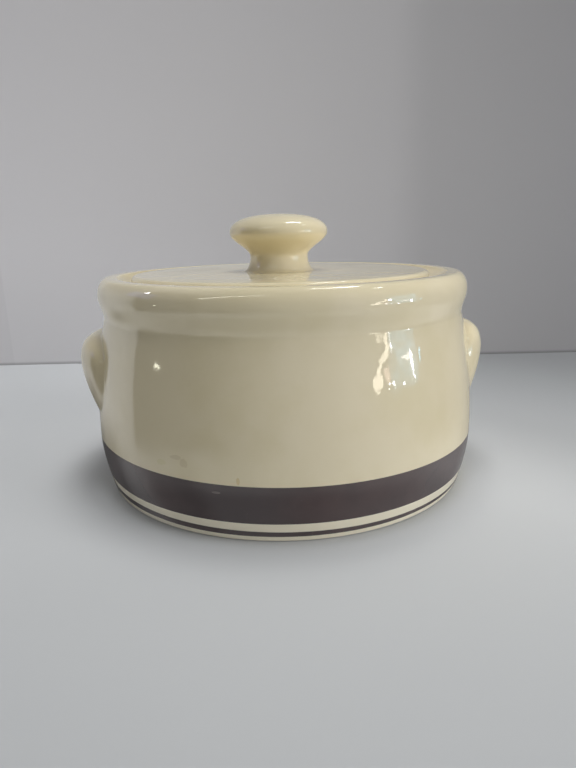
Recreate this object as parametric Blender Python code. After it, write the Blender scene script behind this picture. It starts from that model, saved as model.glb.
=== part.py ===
"""Covered casserole dish in glazed stoneware, with two ear handles and a loose lid.

Metres, +Z up. The origin is the middle of the standing ring, on the table, and the
handles lie along X. The crock, the lid and its knob are turned about upright axes.
Heights are stacked from the table up, and radii from the lid outwards.
"""

import math

import bmesh
import bpy
from mathutils import Vector

# Heights of the crock, from the table up
FOOT_STRIP_HEIGHT = 0.0029
NARROW_BAND_HEIGHT = 0.0025
CREAM_STRIP_HEIGHT = 0.0044
WIDE_BAND_HEIGHT = 0.0183
WALL_HEIGHT = 0.0573
NECK_HEIGHT = 0.0049
RIM_LOWER_HEIGHT = 0.0118
RIM_UPPER_HEIGHT = 0.0088

# Radii of the crock, from the lid outwards
LID_RADIUS = 0.0817
LID_GAP = 0.0022
GALLERY_FLARE = 0.0053
RIM_LAND = 0.0055
RIM_ROLL = 0.0056
NECK_INSET = 0.0022
SHOULDER_STEP = 0.0012
WALL_FLARE = 0.0064
HEEL_INSET = 0.0046

# Walls, floor and standing ring
WALL_THICKNESS = 0.0062
FLOOR_THICKNESS = 0.0065
FLOOR_FILLET = 0.0120
FOOT_RECESS = 0.0025
FOOT_RECESS_SLOPE = 0.0020
FOOT_RING_WIDTH = 0.0060
FOOT_EDGE = 0.0012

# Gallery, where the lid lies
LEDGE_WIDTH = 0.0070
LEDGE_THICKNESS = 0.0050
LEDGE_EDGE = 0.0012
GALLERY_EDGE = 0.0012

# Lid
LID_THICKNESS = 0.0062
LID_PROUD = 0.0004
LID_TOP_EDGE = 0.0028
LID_BOTTOM_EDGE = 0.0012
FLANGE_PLAY = 0.0030
FLANGE_WIDTH = 0.0045
FLANGE_DEPTH = 0.0035
FLANGE_EDGE = 0.0010

# Knob
KNOB_RADIUS = 0.0270
KNOB_NECK_RADIUS = 0.0160
KNOB_FOOT_FLARE = 0.0047
KNOB_FOOT_HEIGHT = 0.0082
KNOB_FOOT_EDGE = 0.0005
KNOB_CAP_RISE = 0.0123
KNOB_DOME_HEIGHT = 0.0099
KNOB_SHIFT = -0.0006

# Ear handles
HANDLE_DROP = 0.0040
HANDLE_HEIGHT = 0.0403
HANDLE_WIDTH = 0.0862
HANDLE_REACH = 0.0105
HANDLE_OFFSET = 0.0005
HANDLE_ROOT = 0.0020

# Glaze bands and the gaps between pieces
BAND_THICKNESS = 0.0006
PIECE_GAP = 0.0003
CUT_OVERRUN = 0.0100
MERGE_DISTANCE = 0.00001

# Shapes of the curves, as powers and shares of the sizes above
HEEL_POWER = 1.75
WALL_POWER = 1.83
HANDLE_TIP_share = 0.25
HANDLE_CROWN_POWER = 3.0
HANDLE_TAPER_POWER = 1.45
HANDLE_FACE_POWER = 3.07
HANDLE_REACH_POWER = 1.30
LID_SHIFT_share = 0.43
DOME_POWER = 2.35

# Facets
TURNED_STEPS = 56
KNOB_STEPS = 32
HANDLE_STATIONS = 13
HANDLE_STATION_SPAN = math.radians(81)

CREAM_GLAZE = (0.62, 0.56, 0.42)
BROWN_GLAZE = (0.050, 0.034, 0.031)

# Heights that follow
NARROW_BAND_BOTTOM = FOOT_STRIP_HEIGHT
NARROW_BAND_TOP = NARROW_BAND_BOTTOM + NARROW_BAND_HEIGHT
WIDE_BAND_BOTTOM = NARROW_BAND_TOP + CREAM_STRIP_HEIGHT
BELLY_HEIGHT = WIDE_BAND_BOTTOM + WIDE_BAND_HEIGHT
SHOULDER_HEIGHT = BELLY_HEIGHT + WALL_HEIGHT
NECK_LEVEL = SHOULDER_HEIGHT + NECK_HEIGHT
BEAD_LEVEL = NECK_LEVEL + RIM_LOWER_HEIGHT
RIM_LEVEL = BEAD_LEVEL + RIM_UPPER_HEIGHT
LID_TOP = RIM_LEVEL + LID_PROUD
SEAT_LEVEL = LID_TOP - LID_THICKNESS - PIECE_GAP
FLOOR_LEVEL = FOOT_RECESS + FLOOR_THICKNESS

# Radii that follow
SEAT_RADIUS = LID_RADIUS + LID_GAP
MOUTH_RADIUS = SEAT_RADIUS + GALLERY_FLARE
THROAT_RADIUS = SEAT_RADIUS - LEDGE_WIDTH
BEAD_RADIUS = MOUTH_RADIUS + RIM_LAND + RIM_ROLL
NECK_RADIUS = BEAD_RADIUS - NECK_INSET
SHOULDER_RADIUS = NECK_RADIUS + SHOULDER_STEP
BELLY_RADIUS = SHOULDER_RADIUS + WALL_FLARE
FLANGE_RADIUS = THROAT_RADIUS - FLANGE_PLAY
LID_SHIFT = -LID_SHIFT_share * min(LID_GAP, FLANGE_PLAY)


def clear_scene():
    """Remove whatever the open file holds."""
    for scene_object in list(bpy.data.objects):
        bpy.data.objects.remove(scene_object, do_unlink=True)


def glaze(name, colour):
    """A glossy fired glaze of one colour."""
    material = bpy.data.materials.new(name)
    material.use_nodes = True
    shader = material.node_tree.nodes["Principled BSDF"]
    shader.inputs["Base Color"].default_value = (*colour, 1.0)
    shader.inputs["Roughness"].default_value = 0.12
    shader.inputs["Metallic"].default_value = 0.0
    material.diffuse_color = (*colour, 1.0)
    return material


def add_object(name, work_mesh, material, place=(0.0, 0.0, 0.0)):
    """Turn a bmesh into a named, smoothly shaded object."""
    mesh = bpy.data.meshes.new(name)
    work_mesh.to_mesh(mesh)
    work_mesh.free()
    mesh.materials.append(material)
    mesh.shade_smooth()
    mesh.set_sharp_from_angle(angle=math.radians(40))
    new_object = bpy.data.objects.new(name, mesh)
    new_object.location = place
    bpy.context.collection.objects.link(new_object)
    return new_object


def turned(name, outline, steps, material, place=(0.0, 0.0, 0.0)):
    """Spin a closed outline of (radius, height) points about the Z axis."""
    work_mesh = bmesh.new()
    corners = [work_mesh.verts.new((radius, 0.0, height)) for radius, height in outline]
    on_axis = outline[0][0] == 0 and outline[-1][0] == 0
    edges = [work_mesh.edges.new(pair) for pair in zip(corners, corners[1:])]
    if not on_axis:
        edges.append(work_mesh.edges.new((corners[-1], corners[0])))
    bmesh.ops.spin(
        work_mesh,
        geom=corners + edges,
        cent=(0.0, 0.0, 0.0),
        axis=(0.0, 0.0, 1.0),
        angle=math.tau,
        steps=steps,
        use_merge=True,
    )
    bmesh.ops.remove_doubles(work_mesh, verts=work_mesh.verts, dist=MERGE_DISTANCE)
    bmesh.ops.dissolve_degenerate(work_mesh, edges=work_mesh.edges, dist=MERGE_DISTANCE)
    bmesh.ops.recalc_face_normals(work_mesh, faces=work_mesh.faces)
    return add_object(name, work_mesh, material, place)


def arc(centre, reach, rise, start, end, steps):
    """Points along an ellipse, in degrees from straight outwards, upwards positive."""
    points = []
    for step in range(steps + 1):
        angle = math.radians(start + (end - start) * step / steps)
        points.append((centre[0] + reach * math.cos(angle), centre[1] + rise * math.sin(angle)))
    return points


def ease(share):
    """Go from 0 to 1 with a level start and end."""
    return (1 - math.cos(math.pi * share)) / 2


def wall_radius(height):
    """Outer radius of the crock: heel, flaring wall, neck groove and rim bead."""
    if height < BELLY_HEIGHT:
        below = 1 - max(height, 0) / BELLY_HEIGHT
        return BELLY_RADIUS - HEEL_INSET * below**HEEL_POWER
    if height < SHOULDER_HEIGHT:
        above = (height - BELLY_HEIGHT) / WALL_HEIGHT
        return BELLY_RADIUS - WALL_FLARE * above**WALL_POWER
    if height < NECK_LEVEL:
        above = (height - SHOULDER_HEIGHT) / NECK_HEIGHT
        return SHOULDER_RADIUS - SHOULDER_STEP * math.sin(math.pi / 2 * above)
    above = min((height - NECK_LEVEL) / RIM_LOWER_HEIGHT, 1)
    return NECK_RADIUS + NECK_INSET * ease(above)


def wall_run(bottom, top, steps, inset=0.0):
    """Points up the crock's outer wall, set in by a depth."""
    points = []
    for step in range(steps + 1):
        height = bottom + (top - bottom) * step / steps
        points.append((wall_radius(height) - inset, height))
    return points


def band_groove(bottom, top, steps):
    """The shallow step in the wall that a band of brown glaze fills."""
    return wall_run(bottom - PIECE_GAP, top + PIECE_GAP, steps, BAND_THICKNESS + PIECE_GAP)


def crock_outside():
    """Standing ring, wall with its two grooves, neck and rolled rim."""
    flat_radius = wall_radius(0) - FOOT_EDGE
    ring_inside = flat_radius - FOOT_RING_WIDTH
    outline = [(0, FOOT_RECESS), (ring_inside - FOOT_RECESS_SLOPE, FOOT_RECESS), (ring_inside, 0)]
    outline += arc((flat_radius, FOOT_EDGE), wall_radius(FOOT_EDGE) - flat_radius, FOOT_EDGE, -90, 0, 3)
    outline += [(wall_radius(NARROW_BAND_BOTTOM - PIECE_GAP), NARROW_BAND_BOTTOM - PIECE_GAP)]
    outline += band_groove(NARROW_BAND_BOTTOM, NARROW_BAND_TOP, 1)
    outline += wall_run(NARROW_BAND_TOP + PIECE_GAP, WIDE_BAND_BOTTOM - PIECE_GAP, 1)
    outline += band_groove(WIDE_BAND_BOTTOM, BELLY_HEIGHT, 4)
    outline += wall_run(BELLY_HEIGHT + PIECE_GAP, SHOULDER_HEIGHT, 7)
    outline += wall_run(SHOULDER_HEIGHT, NECK_LEVEL, 3)[1:]
    outline += wall_run(NECK_LEVEL, BEAD_LEVEL, 5)[1:]
    outline += arc((MOUTH_RADIUS + RIM_LAND, BEAD_LEVEL), RIM_ROLL, RIM_UPPER_HEIGHT, 0, 90, 5)[1:]
    return outline


def crock_inside():
    """Gallery, ledge, throat, inner wall and floor, from the rim down to the axis."""
    outline = arc((MOUTH_RADIUS + GALLERY_EDGE, RIM_LEVEL - GALLERY_EDGE), GALLERY_EDGE, GALLERY_EDGE, 90, 160, 2)
    outline += [(SEAT_RADIUS, SEAT_LEVEL)]
    throat_edge = (THROAT_RADIUS + LEDGE_EDGE, SEAT_LEVEL - LEDGE_EDGE)
    outline += arc(throat_edge, LEDGE_EDGE, LEDGE_EDGE, 90, 180, 2)
    throat_bottom = SEAT_LEVEL - LEDGE_THICKNESS
    hollow_top = SHOULDER_HEIGHT - WALL_THICKNESS
    hollow_radius = wall_radius(hollow_top) - WALL_THICKNESS
    for step in range(5):
        share = step / 4
        radius = THROAT_RADIUS + (hollow_radius - THROAT_RADIUS) * ease(share)
        outline.append((radius, throat_bottom + (hollow_top - throat_bottom) * share))
    fillet_top = FLOOR_LEVEL + FLOOR_FILLET
    for radius, height in reversed(wall_run(fillet_top, hollow_top, 5, WALL_THICKNESS)[:-1]):
        outline.append((radius, height))
    fillet_centre = (wall_radius(fillet_top) - WALL_THICKNESS - FLOOR_FILLET, fillet_top)
    outline += arc(fillet_centre, FLOOR_FILLET, FLOOR_FILLET, 0, -90, 4)[1:]
    outline.append((0, FLOOR_LEVEL))
    return outline


def glaze_band(name, bottom, top, steps, material):
    """A coat of coloured glaze round the crock, flush with the wall."""
    outside = wall_run(bottom, top, steps)
    inside = wall_run(bottom, top, steps, BAND_THICKNESS)
    return turned(name, outside + inside[::-1], TURNED_STEPS, material)


def handle_section(share):
    """One upright slice of an ear handle, as (reach, height) from its middle level.

    The share runs from -1 to 1 across the handle. The slice is a full, squarish quarter
    round above the tip and a slower taper below it, and it shrinks towards the ends.
    """
    face = 1 - abs(share) ** HANDLE_FACE_POWER
    tall = face ** (1 / HANDLE_FACE_POWER)
    reach = HANDLE_REACH * face ** (1 / HANDLE_REACH_POWER)
    half_height = HANDLE_HEIGHT / 2
    tip = half_height - HANDLE_HEIGHT * HANDLE_TIP_share
    slice_points = [(-HANDLE_ROOT, half_height)]
    for step in range(6):
        angle = math.pi / 2 * (1 - step / 5)
        out = HANDLE_REACH * math.cos(angle) ** (2 / HANDLE_CROWN_POWER) if step > 0 else 0
        slice_points.append((out, tip + (half_height - tip) * math.sin(angle) ** (2 / HANDLE_CROWN_POWER)))
    for step in range(1, 7):
        fall = step / 6
        slice_points.append((HANDLE_REACH * (1 - fall**HANDLE_TAPER_POWER), tip - (tip + half_height) * fall))
    slice_points.append((-HANDLE_ROOT, -half_height))
    scaled = []
    for out, height in slice_points:
        scaled.append((out * reach / HANDLE_REACH if out > 0 else out, height * tall))
    return scaled


def ear_handle(name, facing, lift, wall_cutter, material):
    """An ear handle lofted round the wall, then trimmed to the wall by the cutter."""
    middle = SHOULDER_HEIGHT - HANDLE_DROP - HANDLE_HEIGHT / 2 + lift
    half_angle = HANDLE_WIDTH / 2 / wall_radius(middle)
    work_mesh = bmesh.new()
    loops = []
    for station in range(HANDLE_STATIONS):
        lean = HANDLE_STATION_SPAN * (2 * station / (HANDLE_STATIONS - 1) - 1)
        share = math.sin(lean)
        angle = facing + half_angle * share
        corners = []
        for out, height in handle_section(share):
            radius = wall_radius(middle + height) + out
            corners.append(work_mesh.verts.new(
                (radius * math.cos(angle), radius * math.sin(angle), middle + height)
            ))
        loops.append([work_mesh.edges.new(pair) for pair in zip(corners, corners[1:] + corners[:1])])
    for first, second in zip(loops, loops[1:]):
        bmesh.ops.bridge_loops(work_mesh, edges=first + second)
    for end in (loops[0], loops[-1]):
        bmesh.ops.contextual_create(work_mesh, geom=end)
    bmesh.ops.triangulate(work_mesh, faces=[face for face in work_mesh.faces if len(face.verts) > 4])
    bmesh.ops.recalc_face_normals(work_mesh, faces=work_mesh.faces)
    handle = add_object(name, work_mesh, material)
    trim = handle.modifiers.new("trim_to_wall", "BOOLEAN")
    trim.operation = "DIFFERENCE"
    trim.solver = "EXACT"
    trim.object = wall_cutter
    return handle


def make_wall_cutter(material):
    """A solid of the crock's outer shape, larger by the gap between pieces."""
    side = wall_run(-CUT_OVERRUN, BELLY_HEIGHT, 4, -PIECE_GAP)
    side += wall_run(BELLY_HEIGHT, SHOULDER_HEIGHT, 8, -PIECE_GAP)[1:]
    side += wall_run(SHOULDER_HEIGHT, BEAD_LEVEL, 6, -PIECE_GAP)[1:]
    outline = [(0, -CUT_OVERRUN)] + side + [(0, BEAD_LEVEL)]
    cutter = turned("wall_cutter", outline, TURNED_STEPS, material)
    cutter.hide_render = True
    cutter.display_type = "WIRE"
    return cutter


def lid_outline():
    """A flat disc with a rounded edge and a short ring below, which drops into the throat."""
    top_edge = (LID_RADIUS - LID_TOP_EDGE, LID_THICKNESS - LID_TOP_EDGE)
    bottom_edge = (LID_RADIUS - LID_BOTTOM_EDGE, LID_BOTTOM_EDGE)
    flange_outer = (FLANGE_RADIUS - FLANGE_EDGE, FLANGE_EDGE - FLANGE_DEPTH)
    flange_inner = (FLANGE_RADIUS - FLANGE_WIDTH + FLANGE_EDGE, FLANGE_EDGE - FLANGE_DEPTH)
    outline = [(0, 0), (FLANGE_RADIUS - FLANGE_WIDTH, 0)]
    outline += arc(flange_inner, FLANGE_EDGE, FLANGE_EDGE, 180, 270, 2)
    outline += arc(flange_outer, FLANGE_EDGE, FLANGE_EDGE, -90, 0, 2)
    outline += [(FLANGE_RADIUS, 0)]
    outline += arc(bottom_edge, LID_BOTTOM_EDGE, LID_BOTTOM_EDGE, -90, 0, 2)
    outline += arc(top_edge, LID_TOP_EDGE, LID_TOP_EDGE, 0, 90, 4)
    outline.append((0, LID_THICKNESS))
    return outline


def knob_outline():
    """A mushroom knob: coved foot, waist, swelling underside and low dome."""
    foot_radius = KNOB_NECK_RADIUS + KNOB_FOOT_FLARE
    cap_level = KNOB_FOOT_HEIGHT + KNOB_CAP_RISE
    outline = [(0, 0), (foot_radius, 0)]
    cove_centre = (foot_radius, KNOB_FOOT_HEIGHT)
    outline += arc(cove_centre, KNOB_FOOT_FLARE, KNOB_FOOT_HEIGHT - KNOB_FOOT_EDGE, 270, 180, 4)
    swell = KNOB_RADIUS - KNOB_NECK_RADIUS
    for step in range(1, 7):
        share = step / 6
        outline.append((KNOB_NECK_RADIUS + swell * ease(share) ** 0.9, KNOB_FOOT_HEIGHT + KNOB_CAP_RISE * share))
    for step in range(1, 7):
        angle = math.pi / 2 * step / 6
        radius = KNOB_RADIUS * math.cos(angle) ** (2 / DOME_POWER)
        height = cap_level + KNOB_DOME_HEIGHT * math.sin(angle) ** (2 / DOME_POWER)
        outline.append((radius if step < 6 else 0, height))
    return outline


def build_dish():
    """Make every piece of the dish."""
    clear_scene()
    cream = glaze("cream_glaze", CREAM_GLAZE)
    brown = glaze("brown_glaze", BROWN_GLAZE)
    turned("crock", crock_outside() + crock_inside(), TURNED_STEPS, cream)
    glaze_band("wide_band", WIDE_BAND_BOTTOM, BELLY_HEIGHT, 4, brown)
    glaze_band("narrow_band", NARROW_BAND_BOTTOM, NARROW_BAND_TOP, 1, brown)
    cutter = make_wall_cutter(cream)
    ear_handle("left_handle", math.pi, -HANDLE_OFFSET, cutter, cream)
    ear_handle("right_handle", 0.0, HANDLE_OFFSET, cutter, cream)
    lid_place = Vector((LID_SHIFT, 0.0, SEAT_LEVEL + PIECE_GAP))
    lid = turned("lid", lid_outline(), TURNED_STEPS, cream, lid_place)
    knob = turned("knob", knob_outline(), KNOB_STEPS, cream)
    knob.parent = lid
    knob.location = (KNOB_SHIFT, 0.0, LID_THICKNESS + PIECE_GAP)


build_dish()
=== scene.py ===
import math

import bmesh
import bpy
from mathutils import Matrix, Quaternion, Vector


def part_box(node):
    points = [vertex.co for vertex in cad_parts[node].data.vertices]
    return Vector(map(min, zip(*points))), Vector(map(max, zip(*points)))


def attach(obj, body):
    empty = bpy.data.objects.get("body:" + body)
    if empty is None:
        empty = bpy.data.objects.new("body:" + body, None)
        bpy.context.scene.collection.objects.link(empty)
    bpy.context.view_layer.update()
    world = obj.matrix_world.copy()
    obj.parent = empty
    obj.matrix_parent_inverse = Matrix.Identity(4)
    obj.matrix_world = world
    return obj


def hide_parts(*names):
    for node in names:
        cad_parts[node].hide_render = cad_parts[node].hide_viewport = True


# Covered casserole dish in glossy cream stoneware: a crock with a rolled rim and two low ear
# handles, a wide and a narrow band of brown glaze near the foot, and a loose flat lid with a
# mushroom knob. Metres, +Z up. The dish stands on the table at the origin, handles along X.
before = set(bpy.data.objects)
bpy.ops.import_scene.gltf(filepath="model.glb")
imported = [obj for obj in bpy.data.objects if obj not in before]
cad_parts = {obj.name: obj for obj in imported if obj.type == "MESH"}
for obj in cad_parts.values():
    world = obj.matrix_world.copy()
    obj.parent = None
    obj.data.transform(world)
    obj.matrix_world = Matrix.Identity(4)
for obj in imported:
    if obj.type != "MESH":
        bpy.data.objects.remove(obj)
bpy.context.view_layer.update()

# Places and sizes taken from the frame
_, CROCK_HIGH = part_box("crock")
WIDE_LOW, WIDE_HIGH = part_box("wide_band")
NARROW_LOW, NARROW_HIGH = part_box("narrow_band")
LID_LOW, LID_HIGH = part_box("lid")
KNOB_LOW, KNOB_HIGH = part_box("knob")
RIGHT_LOW, RIGHT_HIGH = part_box("right_handle")
LEFT_LOW, LEFT_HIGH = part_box("left_handle")

# Crock, outside, from the table up
BAND_PROUD = 0.00003
BELLY_RADIUS = CROCK_HIGH.x - BAND_PROUD
BELLY_LEVEL = WIDE_HIGH.z
RIM_LEVEL = CROCK_HIGH.z
SHOULDER_DROP = 0.0255
NECK_DROP = 0.0206
BEAD_DROP = 0.0088
HEEL_INSET = 0.0046
WALL_FLARE = 0.0064
SHOULDER_STEP = 0.0012
NECK_INSET = 0.0022
RIM_ROLL = 0.0056
RIM_LAND = 0.0055
HEEL_POWER = 1.75
WALL_POWER = 1.83
FOOT_EDGE = 0.0012
FOOT_RING_WIDTH = 0.0060
FOOT_RECESS = 0.0025
FOOT_RECESS_SLOPE = 0.0020

# Crock, inside, from the rim down
GALLERY_EDGE = 0.0012
MOUTH_EDGE_TURN = 160
GALLERY_FLARE = 0.0053
LEDGE_WIDTH = 0.0070
LEDGE_EDGE = 0.0012
LEDGE_THICKNESS = 0.0050
WALL_THICKNESS = 0.0062
FLOOR_THICKNESS = 0.0065
FLOOR_FILLET = 0.0120
PIECE_GAP = 0.0003

SHOULDER_LEVEL = RIM_LEVEL - SHOULDER_DROP
NECK_LEVEL = RIM_LEVEL - NECK_DROP
BEAD_LEVEL = RIM_LEVEL - BEAD_DROP
SHOULDER_RADIUS = BELLY_RADIUS - WALL_FLARE
NECK_RADIUS = SHOULDER_RADIUS - SHOULDER_STEP
BEAD_RADIUS = NECK_RADIUS + NECK_INSET
MOUTH_RADIUS = BEAD_RADIUS - RIM_ROLL - RIM_LAND
SEAT_RADIUS = MOUTH_RADIUS - GALLERY_FLARE
THROAT_RADIUS = SEAT_RADIUS - LEDGE_WIDTH

# Lid and knob
LID_CENTRE = (LID_LOW.x + LID_HIGH.x) / 2
LID_RADIUS = (LID_HIGH.x - LID_LOW.x) / 2
LID_TOP = LID_HIGH.z
LID_THICKNESS = 0.0062
LID_UNDERSIDE = LID_TOP - LID_THICKNESS
LID_TOP_EDGE = 0.0028
LID_BOTTOM_EDGE = 0.0012
FLANGE_PLAY = 0.0030
FLANGE_RADIUS = THROAT_RADIUS - FLANGE_PLAY
FLANGE_WIDTH = 0.0045
FLANGE_DEPTH = LID_UNDERSIDE - LID_LOW.z
FLANGE_EDGE = 0.0010
SEAT_LEVEL = LID_UNDERSIDE - PIECE_GAP
KNOB_CENTRE = (KNOB_LOW.x + KNOB_HIGH.x) / 2
KNOB_RADIUS = (KNOB_HIGH.x - KNOB_LOW.x) / 2
KNOB_TOP = KNOB_HIGH.z
KNOB_NECK_RADIUS = 0.0160
KNOB_FOOT_FLARE = 0.0047
KNOB_FOOT_HEIGHT = 0.0082
KNOB_CAP_RISE = 0.0123
KNOB_ROOT = 0.0010
SWELL_POWER = 0.9
DOME_POWER = 2.35

# Ear handles
RIGHT_EAR_MIDDLE = (RIGHT_LOW.z + RIGHT_HIGH.z) / 2
LEFT_EAR_MIDDLE = (LEFT_LOW.z + LEFT_HIGH.z) / 2
EAR_HALF_HEIGHT = 0.0403 / 2
EAR_HALF_WIDTH = 0.0862 / 2
EAR_REACH = 0.0104
EAR_TIP_SHARE = 0.50
EAR_CROWN_POWER = 3.0
EAR_TAPER_POWER = 1.45
EAR_FACE_POWER = 3.07
EAR_REACH_POWER = 1.30
EAR_FILLET = 0.0010
EAR_FILLET_PULL_SHARE = 0.62
EAR_SKIRT = 0.0008
EAR_SKIRT_SINK = 0.00012
EAR_ROOT = 0.0015

# Bands of brown glaze
BAND_DEPTH = 0.0006
WIDE_TILT = (0.0004, 0.0010)
NARROW_TILT = (0.0001, 0.0009)
MERGE_DISTANCE = 0.000005

# How finely the curves are divided
TURNED_STEPS = 224
KNOB_TURNED_STEPS = 128
EDGE_STEPS = 6
HEEL_STEPS = 18
WALL_STEPS = 26
SHOULDER_STEPS = 8
NECK_STEPS = 12
RIM_STEPS = 14
THROAT_STEPS = 12
HOLLOW_STEPS = 16
FLOOR_FILLET_STEPS = 12
WIDE_BAND_STEPS = 8
NARROW_BAND_STEPS = 3
LID_TOP_STEPS = 12
LID_RING_SHARES = (0.8, 0.6, 0.4, 0.2)
KNOB_COVE_STEPS = 14
KNOB_SWELL_STEPS = 16
KNOB_DOME_STEPS = 24
EAR_RINGS = 44
EAR_SPOKES = 128
EAR_SLOPE_STEPS = 180
EAR_FILLET_STEPS = 24
SHARP_ANGLE = math.radians(60)

# Glaze, with its colours where it lies thin and full, and the bare clay. The left ear has a darker copy of
# the cream as painted shade, and the heel a paler cream as painted light.
CREAM_THIN = (0.805, 0.715, 0.505)
CREAM_FULL = (0.765, 0.675, 0.450)
# Left ear: a darker copy of the cream, painted shade
LEFT_EAR_SHADED_THIN = (0.705, 0.618, 0.428)
LEFT_EAR_SHADED_FULL = (0.668, 0.582, 0.378)
# Heel: a paler copy of the cream, painted light
HEEL_LIT_CREAM = (0.880, 0.815, 0.640)
BROWN_THIN = (0.068, 0.042, 0.041)
BROWN_FULL = (0.045, 0.029, 0.030)
BROWN_SPECK = (0.10, 0.08, 0.07)
BROWN_SPECK_AMOUNT = 0.2
GLAZE_IOR = 1.58
RIPPLE_DEPTH = 0.00035
CLAY = (0.60, 0.55, 0.47)
CLAY_ROUGHNESS = 0.7
CROCK_CLAY_RISE = 0.0006
LID_CLAY_RISE = 0.0003
CLAY_FADE = 0.0003

# Small marks in the glaze: centre, half sizes, colour, strength
MARK_GRAIN = 420.0
CREAM_MARKS = (
    ((-0.0572, -0.0886, 0.0382), (0.0030, 0.0030, 0.0011), (0.54, 0.44, 0.26), 0.30),
    ((-0.0535, -0.0908, 0.0362), (0.0021, 0.0021, 0.0020), (0.56, 0.45, 0.25), 0.34),
    ((-0.0640, -0.0840, 0.0345), (0.0026, 0.0026, 0.0014), (0.66, 0.60, 0.26), 0.24),
    ((-0.0303, -0.1012, 0.0306), (0.0009, 0.0009, 0.0019), (0.62, 0.46, 0.18), 0.55),
    ((-0.0980, -0.0395, 0.0324), (0.0005, 0.0007, 0.0021), (0.38, 0.30, 0.19), 0.60),
)
BROWN_MARKS = (
    ((-0.0402, -0.0976, 0.0245), (0.0021, 0.0021, 0.0006), (0.30, 0.25, 0.22), 0.34),
)

# Soft panels of light: azimuth, elevation, distance, size, power. Azimuth 0 is towards the viewer
# and 90 to the right, in degrees.
LIGHT_AIM = 0.06
PANELS = (
    ("side_glow", 63, 12, 1.6, (0.8, 0.6), 9.5),
    ("side_high_glow", 63, 30, 1.6, (0.8, 0.6), 2.5),
    ("side_front_glow", 38, 14, 1.6, (0.8, 0.6), 2.4),
    ("left_front_glow", -52, 30, 1.5, (0.8, 0.6), 2.25),
    ("overhead_glow", 58, 86, 1.3, (0.6, 0.6), 6.7),
    ("back_overhead_glow", 150, 82, 1.3, (0.3, 0.3), 2.1),
    ("left_back_glow", -127, 20, 1.4, (0.6, 0.6), 0.6),
    ("right_back_glow", 108, 14, 1.6, (0.6, 0.6), 1.0),
)

# Lamps that the glaze mirrors: azimuth, elevation, width, height, roll, colour
CARD_DISTANCE = 1.0
LAMPS = (
    ("left_lamp", -80, 2.1, 0.056, 0.019, 14, (11.0, 10.8, 8.5)),
    ("left_spot", -98.1, 32.7, 0.042, 0.070, 0, (24.0, 24.0, 24.0)),
    ("blue_panel", -97, 24, 0.36, 0.26, 0, (0.20, 0.26, 0.80)),
    ("ceiling_tube", -39, 42, 0.60, 0.032, 38, (9.0, 8.8, 7.6)),
    ("front_tube", 25, 57.5, 0.14, 0.026, 0, (2.4, 2.5, 2.3)),
    ("right_tube", 118, 71, 0.045, 0.30, 0, (50.0, 50.0, 48.0)),
    ("right_lamp", 80, 54, 0.130, 0.045, 0, (14.0, 14.0, 13.0)),
)

# What the glaze mirrors of the room, by azimuth: the table, eye height and overhead
TABLE_STOPS = (
    (-180, 0.05), (-150, 0.10), (-130, 0.20), (-114, 0.72), (-104, 0.80), (-92, 0.62), (-66, 0.58),
    (-50, 0.98), (-20, 1.05), (10, 0.80), (40, 1.08), (70, 1.10), (95, 1.00), (125, 0.45), (180, 0.05),
)
EYE_STOPS = (
    (-180, 0.43), (-166, 0.47), (-140, 0.68), (-116, 1.06), (-103.5, 0.92), (-101.5, 0.04),
    (-94, 0.01), (-58, 0.01), (-35, 0.36), (-5, 0.76), (15, 0.72), (30, 0.95), (60, 0.98), (80, 0.62),
    (95, 0.26), (160, 0.31), (180, 0.43),
)
HIGH_STOPS = (
    (-180, 0.40), (-140, 0.36), (-116, 0.62), (-106.5, 0.68), (-104.5, 0.08), (-94, 0.05),
    (-65, 0.05), (-50, 0.12), (-20, 0.50), (10, 0.66), (25, 0.86), (60, 0.76), (95, 0.42), (150, 0.34),
    (180, 0.40),
)
CEILING = (0.48, 0.52, 0.53, 1.0)
UNDER_DISH = 0.55
ROOM_FILL = 0.040
BACKDROP = (0.50, 0.50, 0.52, 1.0)

# Where one level of the room passes into the next, as the upward part of the direction
UNDER_LIFTS = (-0.40, -0.62)
EYE_LIFTS = (-0.36, -0.22)
HIGH_LIFTS = (0.09, 0.42)
CEILING_LIFTS = (0.62, 0.85)

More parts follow.
